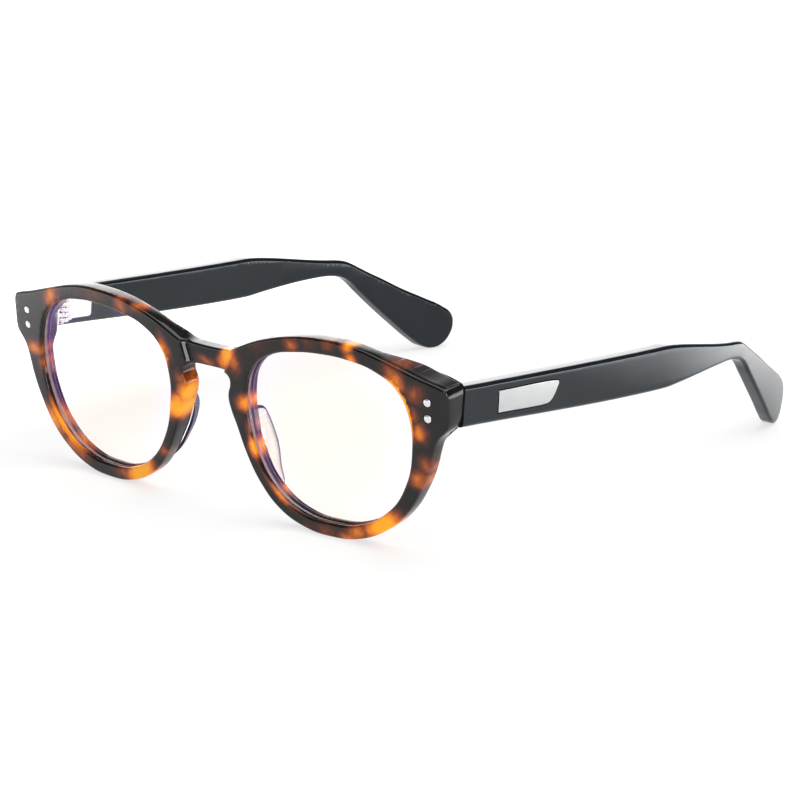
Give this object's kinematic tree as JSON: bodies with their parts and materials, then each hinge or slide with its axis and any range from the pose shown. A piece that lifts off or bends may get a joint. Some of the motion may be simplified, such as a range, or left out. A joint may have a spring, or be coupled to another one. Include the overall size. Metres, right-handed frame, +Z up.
{
  "type": "blue light glasses",
  "caption": "Open acetate glasses with round clear lenses, a keyhole bridge, riveted end pieces and folding temples with a blank side inlay.",
  "frame": {"origin": "middle of the floor rectangle under the open glasses, at the height of the rim bottoms and temple tips", "axes": "+Z up, the front faces -Y, +X is the wearer's left"},
  "size_m": [0.1352, 0.1488, 0.0457],
  "materials": {
    "acetate_tortoise": "polished tortoiseshell acetate: near-black brown with amber, orange and red-brown patches",
    "acetate_black": "polished black acetate",
    "acetate_clear": "polished clear acetate, slightly milky",
    "lens_clear": "clear, faintly cream-tinted lens plastic with a violet anti-reflex coat",
    "metal_satin": "satin nickel silver",
    "metal_bright": "bright silver"
  },
  "bodies": {
    "front": {"front_frame": "acetate_tortoise", "lens_left": "lens_clear", "nose_pad_left": "acetate_clear", "rivet_left_upper": "metal_bright", "rivet_left_lower": "metal_bright", "hinge_front_leaf_left": "metal_satin", "hinge_screw_left": "metal_satin", "lens_right": "lens_clear", "nose_pad_right": "acetate_clear", "rivet_right_upper": "metal_bright", "rivet_right_lower": "metal_bright", "hinge_front_leaf_right": "metal_satin", "hinge_screw_right": "metal_satin"},
    "temple_left": {"temple_left": "acetate_black", "hinge_temple_leaf_left": "metal_satin", "inlay_plate_left": "metal_bright", "core_wire_left": "metal_satin"},
    "temple_right": {"temple_right": "acetate_black", "hinge_temple_leaf_right": "metal_satin", "inlay_plate_right": "metal_bright", "core_wire_right": "metal_satin"}
  },
  "joints": [
    {"name": "left_temple_fold", "type": "hinge", "parent": "front", "child": "temple_left", "pos_m": [0.0598, -0.06041, 0.03417], "axis": [0, 0.0819, 0.9966], "range_deg": [0, 90]},
    {"name": "right_temple_fold", "type": "hinge", "parent": "front", "child": "temple_right", "pos_m": [-0.0598, -0.06041, 0.03417], "axis": [0, -0.0819, -0.9966], "range_deg": [0, 78]}
  ]
}
